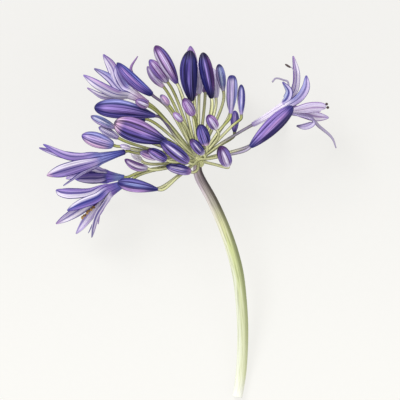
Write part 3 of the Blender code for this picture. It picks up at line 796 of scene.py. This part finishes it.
def make_bud(name, bud, seed):
    form, base_place, tip_place, width, bow, _ = bud
    base, tip = at(base_place), at(tip_place)
    turn = np.array(frame_along(tip - base))
    base, tip = np.array(base), np.array(tip)
    polar, angle = angles_of_ball(*(BUD_GRID if width > SMALL_BUD_WIDTH else SMALL_BUD_GRID))
    u = (1 - np.cos(polar)) / 2
    swell = np.sin(math.pi * u)
    from_seam = np.abs(angle % (2 * math.pi / BUD_LOBES) - math.pi / BUD_LOBES)
    lobe = 1 + BUD_LOBE_DEPTH * np.cos(BUD_LOBES * angle) * swell
    lobe = lobe - SEAM_DEPTH * ridge(from_seam, SEAM_HALF_ANGLE) * swell**0.5
    radius = bud_radius(u, width * MM, form) * rounding(u, BUD_BASE_ROUND) * lobe
    radius = radius + STREAK_DEPTH * streaks(angle, u, seed) * swell
    centre = base + (tip - base) * u[..., None]
    bend = turn[:, 1] * bow * MM * swell[..., None]
    fade = FULL_BASE_FADE if form == "full" else BASE_FADE
    looks = bud_colours(BUD_LOOKS[name], u, angle, fade, seed)
    shape = Shape()
    points = centre + bend + around(angle, radius, 0) @ turn.T
    shape.add_grid(points, looks, start=base, end=tip)
    return add_skin(name, shape.mesh())


def pedicel_path(base_place, toward_place, passed):
    base, toward, hub = at(base_place), at(toward_place), at(HUB)
    direction = (toward - base).normalized()
    middle = [at(passed)] if passed else []
    leave = ((middle + [base])[0] - hub).normalized()
    start = hub + leave * RECEPTACLE_RADIUS * 0.5
    points = [start, *middle, base - direction * PEDICEL_END]
    first_span = (points[1] - points[0]).length
    last_span = (points[-1] - points[-2]).length
    pull = direction * last_span * PEDICEL_END_PULL
    path = smooth_path(points, leave * first_span, pull, PEDICEL_STEPS)
    return path + [base, base + direction * PEDICEL_END]


def pedicel_colours(look, seed):
    """Pale above, painted shade at the sides and away from the window, green and lightened at the
    hub.
    """
    random = np.random.default_rng(seed)
    tone = random.uniform(0.94, 1.16)
    ripe = random.uniform(0.0, 0.4)
    brown = random.uniform(0.0, 0.5)

    def colours(share, normals):
        far = rise(share, 0.35, 0.75)
        pairs = zip(colours_of(GREEN_PEDICEL), colours_of(look))
        top, sides = (blend(green, own, far) for green, own in pairs)
        # Painted light: the top is made lighter than the pedicel's own colour.
        top = blend(top, sides, ripe) * PEDICEL_TOP_LIGHT
        sides = blend(sides, COLOURS["bark"], brown)
        upward = np.abs(normals[..., 2])
        # edge grows where the surface turns from straight up, for the painted shade along the sides.
        edge = 1 - upward / upward.max(axis=-1, keepdims=True)
        away = normals @ np.array(AWAY_FROM_WINDOW)
        # Painted shade away from the window and along the sides, painted light among the crowded
        # roots at the hub, and a dusky tinge at the bud.
        colour = layers(
            top,
            (sides, 0.7 * rise(away, 0, 0.8)),
            (sides * 0.3, rise(edge, 0.18, 0.44)),
            (COLOURS["cream"], 0.5 * rise(share, 0.22, 0.04)),
            (COLOURS["dusk"], 0.55 * rise(share, 0.96, 1)),
        )
        return colour * tone, sides * 0.5

    return colours


def add_scape(shape):
    """The scape, with the underside of its cut end flat on the surface."""
    points = [at(row[:3]) for row in SCAPE]
    path = smooth_path(points, points[1] - points[0], points[-1] - points[-2], SCAPE_STEPS)
    rows = np.arange(len(path)) / SCAPE_STEPS
    radii = np.interp(rows, np.arange(len(SCAPE)), [row[3] * MM for row in SCAPE])
    downs = [ORIGIN_PIXEL[1] - place.y / PIXEL for place in path]
    places = [row[0] for row in SCAPE_LOOKS]

    def colour_along(part):
        bands = np.transpose([srgb(*row[part]) for row in SCAPE_LOOKS])
        return stack(*(np.interp(downs, places, band) for band in bands))[:, None]

    middle, left, right = (colour_along(part) for part in (1, 2, 3))

    def scape_colours(share, normals):
        across = normals[..., 0]
        # Painted light toward the left edge and painted shade toward the right edge, over the middle
        # colour.
        colour = layers(
            middle, (left, rise(-across, 0.15, 0.65)), (right, rise(across, 0.12, 0.72))
        )
        return colour * SCAPE_SHADE, right * 0.7

    add_tube(shape, path, radii, SCAPE_SIDES, scape_colours)
    for points in shape.points:
        points[:, 2] = np.maximum(points[:, 2], 0)


def add_receptacle(shape):
    """The knob that all pedicels leave from."""
    polar, angle = angles_of_ball(*KNOB_GRID)
    bumps = 1 + KNOB_BUMP_DEPTH * np.cos(KNOB_BUMPS * angle) * np.sin(3 * polar)
    tone = blend(COLOURS["leaf"], COLOURS["straw"], (bumps - 0.95) * 8)
    looks = look_of(tone, COLOURS["bark"], around(angle, 1, polar), 0)
    radius = bumps * RECEPTACLE_RADIUS
    add_ball(shape, at(HUB), UMBEL_AXIS, radius, RECEPTACLE_LENGTH, polar, angle, looks)


def make_green():
    shape = Shape()
    add_scape(shape)
    add_receptacle(shape)
    entries = [(name, base, tip, way) for name, (_, base, tip, _, _, way) in BUDS.items()]
    entries += [(name, f["base"], f["throat"], f["pedicel"]) for name, f in FLOWERS.items()]
    for seed, (name, *places) in enumerate(entries):
        path = pedicel_path(*places)
        share = np.linspace(0, 1, len(path))
        at_hub = PEDICEL_HUB_FLARE * rise(share, 0.08, 0)
        at_bud = PEDICEL_BUD_FLARE * rise(share, 0.93, 1)
        radii = PEDICEL_RADIUS * (PEDICEL_SLIMNESS + at_hub + at_bud)
        look = PEDICEL_LOOKS.get(name, GREEN_PEDICEL)
        add_tube(shape, path, radii, PEDICEL_SIDES, pedicel_colours(look, seed), seed)
    return add_skin("scape_and_pedicels", shape.mesh())


def tepal_width(u, root_width, width):
    if u < TEPAL_WIDEST:
        return root_width + (width - root_width) * math.sin(u / TEPAL_WIDEST * math.pi / 2)
    fall = (u - TEPAL_WIDEST) / (1 - TEPAL_WIDEST)
    return TEPAL_TIP_WIDTH + (width - TEPAL_TIP_WIDTH) * (1 - fall**TEPAL_SHOULDER) ** TEPAL_TAPER


def turn_share(u, curled):
    """How much of its turn a tepal has made: early, or after the bend if it curls back."""
    if curled:
        return max(0, (u - TEPAL_TURNED) / (1 - TEPAL_TURNED))
    return min(1, u / TEPAL_TURNED)


def tepal_colours(look, u, c, seed):
    """Looks over a tepal. u runs to its tip, c across it, more than zero on its right side."""
    root, body, tip, rib, left, right = colours_of(look)
    sides = 0.85 * rise(u, 0.05, 0.3)
    line = 0.8 * ridge(c, 0.17 + 0.1 * u) * rise(u, 0, 0.15) * rise(u, 1.02, 0.9)
    # The side colours are partly the tepal's own colours and partly painted light and shade.
    colour = layers(
        root,
        (body, rise(u, 0, 0.3)),
        (left, sides * rise(-c, 0.12, 0.52)),
        (right, sides * rise(c, 0.12, 0.52)),
        (rib, line),
        (tip, 0.85 * rise(u, 0.84, 0.98)),
    )
    tint = colour * (1 + PETAL_STREAKS * streaks(c * 2.2, u, seed))[..., None]
    return look_of(tint, blend(rib, COLOURS["deep"], 0.35), stack(np.abs(c), u, 0), seed)


def flower_axis(flower):
    base, throat = at(flower["base"]), at(flower["throat"])
    return base, throat, (throat - base).normalized()


def add_flower_tube(shape, name, flower, step, seed):
    """The tube from its base to its throat. It returns its last ring."""
    base, throat, axis = (np.array(part) for part in flower_axis(flower))
    base_radius, throat_radius = (radius * MM for radius in flower["radii"])
    first_angle = math.radians(flower["tepals"][0][0])
    columns = np.arange(2 * TEPALS * COLUMNS) / COLUMNS
    angles = first_angle + step * (columns - 1)
    share = np.linspace(0, 1, TUBE_LEVELS + 1)[:, None]
    groove = TUBE_GROOVE * np.sin(math.pi * share) * (1 + np.cos(TEPALS * (angles - first_angle)))
    radius = base_radius + (throat_radius - base_radius) * share**TUBE_SWELL
    radius = radius * rounding(share + TUBE_BASE_OPEN, TUBE_BASE_ROUND) * (1 - groove)
    spoke = around(angles, radius, 0) @ np.array(frame_along(Vector(axis))).T
    points = base + (throat - base) * share[..., None] + spoke
    low, middle, high = colours_of(FLOWER_LOOKS[name][0])[:3]
    tone = layers(low, (middle, rise(share, 0, 0.4)), (high, rise(share, 0.35, 1)))
    tint = tone * (1 + PETAL_STREAKS * streaks(angles, share, seed))[..., None]
    place = stack(np.abs(columns % 2 - 1), share - 1, 0)
    shape.add_grid(points, look_of(tint, blend(low, COLOURS["ink"], 0.3), place, seed), start=base)
    return points[-1]


def tepal_rows(tepal, root, axis, outward, hand, phase):
    """Rows of points from a tepal's root, which is its share of the throat's ring, to its tip."""
    angle, face, width, places = tepal
    points = [Vector(root[COLUMNS])] + [at(place) for place in places]
    flare = math.radians(FLARE_DEGREES)
    start = (axis * math.cos(flare) + outward * math.sin(flare)) * (points[1] - points[0]).length
    path = smooth_path(points, start, points[-1] - points[-2], STATIONS_PER_SPAN)
    last = len(path) - 1
    chord = Vector(root[-1] - root[0])
    side, tangent = chord.normalized(), start.normalized()
    twist = math.radians(face - angle)
    curled = places is CURLED_BACK
    rows = []
    for station, place in enumerate(path):
        u = station / last
        if station:
            ahead = (path[min(station + 1, last)] - path[station - 1]).normalized()
            turned = turn_share(u, curled) - turn_share((station - 1) / last, curled)
            side = tangent.rotation_difference(ahead) @ side
            side = Quaternion(ahead, twist * turned) @ side
            tangent = ahead
        full = tepal_width(u, chord.length, width * MM)
        normal = np.array(side.cross(tangent).normalized()) * hand
        rib = RIB_DEPTH * ridge(ACROSS, RIB_WIDTH) * math.sin(math.pi * u)
        lift = full * TEPAL_KEEL * (1 - ACROSS**2) - rib
        wave = RIPPLE_DEPTH * math.sin(RIPPLES * math.pi * u + phase) * u * (1 - u)
        row = np.array(place) + np.outer(ACROSS, side) * full / 2 + np.outer(lift + wave, normal)
        if not station:
            offset = root - row
        rows.append(row + offset * rise(u, ROOT_FADE, 0))
    return np.array(rows)


def flower_skin(name, flower, seed):
    """The outer surface of a flower: one tube that splits into six tepals, with its colours."""
    axis = flower_axis(flower)[2]
    turn = frame_along(axis)
    tepals = flower["tepals"]
    first_angle, second_angle = (math.radians(tepal[0]) for tepal in tepals[:2])
    hand = math.copysign(1, math.sin(second_angle - first_angle))
    step = hand * math.pi / TEPALS
    throat_colour = colours_of(FLOWER_LOOKS[name][0])[2]
    shape = Shape()
    ring = add_flower_tube(shape, name, flower, step, seed)
    for index, tepal in enumerate(tepals):
        angle = first_angle + 2 * step * index
        outward = turn @ Vector((math.cos(angle), math.sin(angle), 0))
        root = ring[(2 * COLUMNS * index + np.arange(2 * COLUMNS + 1)) % len(ring)]
        rows = tepal_rows(tepal, root, axis, outward, hand, index * 2 + seed)
        u = np.linspace(0, 1, len(rows))[:, None]
        look = FLOWER_LOOKS[name][index + 1]
        looks = tepal_colours(look, u, ACROSS * hand, seed * 7 + index)
        looks[..., :3] = blend(throat_colour, looks[..., :3], rise(u, 0, 0.12))
        shape.add_grid(rows, looks, closed=False)
    return shape, hand


def thick_mesh(skin, hand):
    """The skin as a mesh, welded and given its thickness inwards."""
    mesh = skin.mesh()
    welded = bmesh.new()
    welded.from_mesh(mesh)
    bmesh.ops.remove_doubles(welded, verts=welded.verts, dist=WELD_DISTANCE)
    if hand < 0:
        bmesh.ops.reverse_faces(welded, faces=welded.faces)
    welded.to_mesh(mesh)
    welded.free()
    piece = add_object("thin_skin", mesh)
    solid = piece.modifiers.new("thickness", "SOLIDIFY")
    solid.thickness = TEPAL_THICKNESS
    solid.offset = -1
    bpy.context.view_layer.update()
    evaluated = piece.evaluated_get(bpy.context.evaluated_depsgraph_get())
    thick = bpy.data.meshes.new_from_object(evaluated)
    bpy.data.objects.remove(piece)
    bpy.data.meshes.remove(mesh)
    return thick


def one_colour_with_painted_shade(colour):
    """One colour, with painted shade at the sides where the surface turns from straight up."""

    def colours(share, normals):
        side = rise(np.abs(normals[..., 2]), 0.8, 0.3)
        return colour * (1 - 0.5 * side)[..., None], colour * 0.6

    return colours


def add_anther(shape, place, direction, length, colour):
    radius = LONG_ANTHER_RADIUS if length > LONG_ANTHER else ANTHER_RADIUS
    polar, angle = angles_of_ball(*ANTHER_GRID)
    pinch = 1 - ANTHER_PINCH * np.cos(2 * angle) ** 2
    tone = blend(colour, COLOURS["umber"], 0.8 * rise(pinch, 0.86, 0.78))
    looks = look_of(tone, tone, UNLINED, 0)
    add_ball(shape, place, direction, pinch * radius, length / 2, polar, angle, looks)


def path_from_tube(flower, points, steps):
    """A smooth path through some points, from a place inside the flower's tube."""
    base, throat, axis = flower_axis(flower)
    root = base.lerp(throat, FILAMENT_ROOT_SHARE)
    reach = (points[0] - root).length
    return smooth_path([root] + points, axis * reach, points[-1] - points[-2], steps)


def add_stamens(shape, flower, anther, filament):
    throat = at(flower["throat"])
    for index, (anther_length, places) in enumerate(flower["stamens"]):
        inner = throat.lerp(at(places[0]), FILAMENT_INNER_SHARE)
        points = [inner] + [at(place) for place in places]
        path = path_from_tube(flower, points, FILAMENT_STEPS)
        radius = FILAMENT_RADIUS if anther_length else BARE_FILAMENT_RADIUS
        radii = np.linspace(radius, radius * FILAMENT_TAPER, len(path))
        add_tube(shape, path, radii, FILAMENT_SIDES, one_colour_with_painted_shade(filament), lined=False)
        if anther_length:
            swing = math.radians(flower.get("swing", 0)) * (-1) ** index
            direction = Quaternion((0, 0, 1), swing) @ (points[-1] - points[-2])
            under = ANTHER_UNDERSIDE * (index % 2) if swing else 0.0
            tone = blend(anther, COLOURS["umber"], under)
            add_anther(shape, points[-1], direction, anther_length * MM, tone)


def add_style(shape, flower, colour):
    path = path_from_tube(flower, [at(place) for place in flower["style"]], STYLE_STEPS)
    share = np.linspace(0, 1, len(path))
    swell = STYLE_START + (1 - STYLE_START) * np.sin(math.pi * share**STYLE_SWELL)
    radii = STYLE_RADIUS * swell * (1 - STYLE_TAPER * share)
    add_tube(shape, path, radii, STYLE_SIDES, one_colour_with_painted_shade(colour), lined=False)


def make_flower(name, flower, seed):
    """One mesh of a flower's thick skin, its stamens and its style."""
    mesh = thick_mesh(*flower_skin(name, flower, seed))
    if "style" in flower:
        style, *stamens = colours_of(FLOWER_LOOKS[name][0])[3:]
        inside = Shape()
        if stamens:
            add_stamens(inside, flower, *stamens)
        add_style(inside, flower, style)
        inner_mesh = inside.mesh()
        whole = bmesh.new()
        whole.from_mesh(mesh)
        whole.from_mesh(inner_mesh)
        whole.to_mesh(mesh)
        whole.free()
        bpy.data.meshes.remove(inner_mesh)
    return add_skin(name, mesh)


class Paint:
    """A material's nodes, added by short calls that each return the new node's output."""

    def __init__(self, name, roughness, specular):
        self.material = bpy.data.materials.new(name)
        self.material.use_nodes = True
        self.nodes = self.material.node_tree.nodes
        self.shader = self.nodes["Principled BSDF"]
        self.feed(self.shader, {"Roughness": roughness, "Specular IOR Level": specular})

    def feed(self, node, inputs):
        """Sets or links a node's inputs, each given by its name or number."""
        for key, value in inputs.items():
            if isinstance(value, bpy.types.NodeSocket):
                self.material.node_tree.links.new(value, node.inputs[key])
            else:
                node.inputs[key].default_value = value

    def add(self, kind, inputs):
        node = self.nodes.new(kind)
        self.feed(node, inputs)
        return node

    def looks(self):
        """The tint, line colour, place among the lines and seed that each point holds."""
        outputs = []
        for name, kind, _, _ in ATTRIBUTES:
            node = self.add("ShaderNodeAttribute", {})
            node.attribute_name = name
            outputs.append(node.outputs["Fac" if kind == "FLOAT" else "Vector"])
        return outputs

    def math(self, operation, *values):
        node = self.add("ShaderNodeMath", dict(enumerate(values)))
        node.operation = operation
        return node.outputs[0]

    def vector(self, operation, *values):
        node = self.add("ShaderNodeVectorMath", dict(enumerate(values)))
        node.operation = operation
        return node.outputs["Vector"]

    def split(self, vector):
        return self.add("ShaderNodeSeparateXYZ", {0: vector}).outputs

    def band(self, value, low, high, top=1.0):
        """0 at low and top at high, with a smooth step between them. It falls if high is less."""
        (first, at_first), (last, at_last) = sorted([(low, 0.0), (high, top)])
        span = {"From Min": first, "From Max": last, "To Min": at_first, "To Max": at_last}
        node = self.add("ShaderNodeMapRange", {"Value": value, **span})
        node.interpolation_type = "SMOOTHSTEP"
        return node.outputs["Result"]

    def noise(self, place, scale, seed, detail):
        """Noise with its own scale along each axis."""
        node = self.add("ShaderNodeTexNoise", {"Scale": 1.0, "Detail": detail})
        node.noise_dimensions = "4D"
        self.feed(node, {"Vector": self.vector("MULTIPLY", place, scale), "W": seed})
        return node.outputs["Fac"]

    def layers(self, colour, *others):
        """A colour under others, which are each given with their share."""
        for other, share in others:
            node = self.add("ShaderNodeMix", {"Factor": share, 6: colour, 7: other})
            node.data_type = "RGBA"
            colour = node.outputs[2]
        return colour

    def finish(self, colour, height, strength):
        """Puts the colour and a fine relief on the shader."""
        bump = {"Strength": strength, "Distance": RELIEF_HEIGHT, "Height": height}
        normal = self.add("ShaderNodeBump", bump).outputs["Normal"]
        self.feed(self.shader, {"Base Color": colour, "Normal": normal})
        return self.material


def glint_of(paint, tint):
    """A lighter colour of the same kind, for painted highlight strokes."""
    lighter = paint.vector("MULTIPLY_ADD", tint, (GLINT, GLINT, GLINT), GLINT_LIFT)
    return paint.vector("MINIMUM", lighter, GLINT_MOST)


def bud_material():
    """Six seams with thin lines between them, a rim of painted shade at each side, and dark strokes
    and painted highlight strokes to the tip.
    """
    paint = Paint("bud_skin", 0.5, 0.12)
    tint, ink, place, seed = paint.looks()
    glint = glint_of(paint, tint)
    x, y, u = paint.split(place)
    fine = paint.noise(place, (8.0, 8.0, 1.3), seed, FINE_DETAIL)
    broad = paint.noise(place, (3.2, 3.2, 0.9), paint.math("ADD", seed, 0.5), BROAD_DETAIL)
    turned = paint.math("MULTIPLY", paint.math("ARCTAN2", y, x), BUD_LOBES)
    waver = paint.math("MULTIPLY", paint.math("SUBTRACT", broad, 0.5), 4.0)
    lobes = paint.math("COSINE", paint.math("ADD", turned, waver))
    seam = paint.math("MULTIPLY", paint.band(lobes, -0.76, -0.95, 0.85), paint.band(u, 0.03, 0.16))
    thin = paint.math("COSINE", paint.math("MULTIPLY_ADD", turned, 3.0, waver))
    thin = paint.math("MULTIPLY", paint.band(thin, -0.45, -0.85, 0.6), paint.band(fine, 0.38, 0.52))
    # Painted shade: a dark rim along each side of the bud, where it turns away from straight up.
    painted_rim_shade = paint.band(paint.math("ABSOLUTE", y), 0.86, 0.96, 0.9)
    # Broad and fine painted highlight strokes and dark strokes over the tint, then the seams, lines
    # and shaded rim.
    colour = paint.layers(
        tint,
        (glint, paint.band(broad, 0.53, 0.66, 0.75)),
        (ink, paint.band(fine, 0.52, 0.6, 0.6)),
        (glint, paint.band(fine, 0.43, 0.36, 0.85)),
        (ink, paint.math("MAXIMUM", paint.math("MAXIMUM", seam, painted_rim_shade), thin)),
    )
    return paint.finish(colour, fine, 0.35)


def petal_material():
    """A thin line along the middle, a pair beside it, dark edges, fine veins and broad painted
    highlight strokes.
    """
    paint = Paint("petal_skin", 0.6, 0.08)
    tint, ink, place, seed = paint.looks()
    fold, u, _ = paint.split(place)
    fine = paint.noise(place, (9.0, 1.2, 0.0), seed, FINE_DETAIL)
    broad = paint.noise(place, (3.5, 1.0, 0.0), paint.math("ADD", seed, 0.5), BROAD_DETAIL)
    middle = paint.band(fold, 0.1, 0.03, 0.85)
    apart = paint.math("MULTIPLY", paint.math("SUBTRACT", 1.3, u), 0.3)
    pair = paint.band(paint.math("ABSOLUTE", paint.math("SUBTRACT", fold, apart)), 0.07, 0.02, 0.3)
    edge = paint.band(fold, 0.8, 0.93, 0.95)
    # Broad painted highlight strokes and fine dark strokes over the tint, then the lines.
    colour = paint.layers(
        tint,
        (glint_of(paint, tint), paint.band(broad, 0.5, 0.66, 0.6)),
        (ink, paint.band(fine, 0.5, 0.6, 0.5)),
        (ink, paint.math("MAXIMUM", paint.math("MAXIMUM", middle, pair), edge)),
    )
    return paint.finish(colour, fine, 0.3)


def green_material():
    """Fine dark striations along the stem, and lighter ones of painted highlight."""
    paint = Paint("green_skin", 0.55, 0.12)
    tint, ink, place, seed = paint.looks()
    fine = paint.noise(place, (5.0, 5.0, 0.8), seed, FINE_DETAIL)
    glint = glint_of(paint, tint)
    dark, light = paint.band(fine, 0.5, 0.62, 0.45), paint.band(fine, 0.42, 0.34, 0.4)
    return paint.finish(paint.layers(tint, (ink, dark), (glint, light)), fine, 0.3)


def make_floor():
    mesh = bpy.data.meshes.new("floor")
    corners = [(x * FLOOR_HALF, y * FLOOR_HALF, FLOOR_HEIGHT) for x, y in FLOOR_CORNERS]
    mesh.from_pydata(corners, [], [(0, 1, 2, 3)])
    floor = add_object("floor", mesh)
    paint = Paint("paper_floor", 0.95, 0.0)
    place = paint.add("ShaderNodeTexCoord", {}).outputs["Object"]
    _, up, _ = paint.split(place)
    grain = paint.noise(place, PAPER_GRAIN_SCALE, 0.0, BROAD_DETAIL)
    fade, speckle = paint.band(up, *PAPER_FADE), paint.band(grain, 0.35, 0.65, 0.012)
    tone = paint.layers(PAPER_LOW, (PAPER_HIGH, fade), (PAPER_GRAIN, speckle))
    matt = paint.layers(PAPER_BLACK, (tone, PAPER_MATT))
    glow = {"Emission Color": tone, "Emission Strength": PAPER_GLOW}
    paint.feed(paint.shader, {"Base Color": matt, **glow})
    mesh.materials.append(paint.material)


def make_light(name, place, size, energy):
    data = bpy.data.lights.new(name, "AREA")
    data.shape = "DISK"
    data.size = size
    data.energy = energy
    light = add_object(name, data)
    light.location = place
    light.rotation_euler = (-Vector(place)).to_track_quat("-Z", "Y").to_euler()
    light.visible_camera = False


def make_studio():
    make_floor()
    world = bpy.data.worlds.new("pale_room")
    world.use_nodes = True
    background = world.node_tree.nodes["Background"].inputs
    background["Color"].default_value = ROOM_COLOUR
    background["Strength"].default_value = ROOM_STRENGTH
    bpy.context.scene.world = world
    bpy.context.scene.view_settings.view_transform = "Standard"
    for name, (place, size, energy) in LIGHTS.items():
        make_light(name, place, size, energy)


def make_camera():
    """A camera far above the stem, so that its picture is nearly a plan."""
    data = bpy.data.cameras.new("camera")
    data.sensor_width = CAMERA_SENSOR
    data.lens = CAMERA_SENSOR * CAMERA_DISTANCE / (PICTURE_PIXELS * PIXEL)
    data.clip_end = CAMERA_REACH
    camera = add_object("camera", data)
    camera.location = at((*PICTURE_CENTRE, HUB[2])) + Vector((0, 0, CAMERA_DISTANCE))
    bpy.context.scene.camera = camera


def settle(piece, node, material):
    piece.data.materials.append(material)
    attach(piece, "root")
    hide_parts(node)


def main():
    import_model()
    make_studio()
    make_camera()
    bud_skin = bud_material()
    petal_skin = petal_material()
    green_skin = green_material()
    node = "scape_and_pedicels"
    settle(make_green(), node, green_skin)
    for seed, (name, bud) in enumerate(BUDS.items()):
        settle(make_bud(name, bud, seed), name, bud_skin)
    for seed, (name, flower) in enumerate(FLOWERS.items()):
        settle(make_flower(name, flower, seed + 1), name, petal_skin)


main()
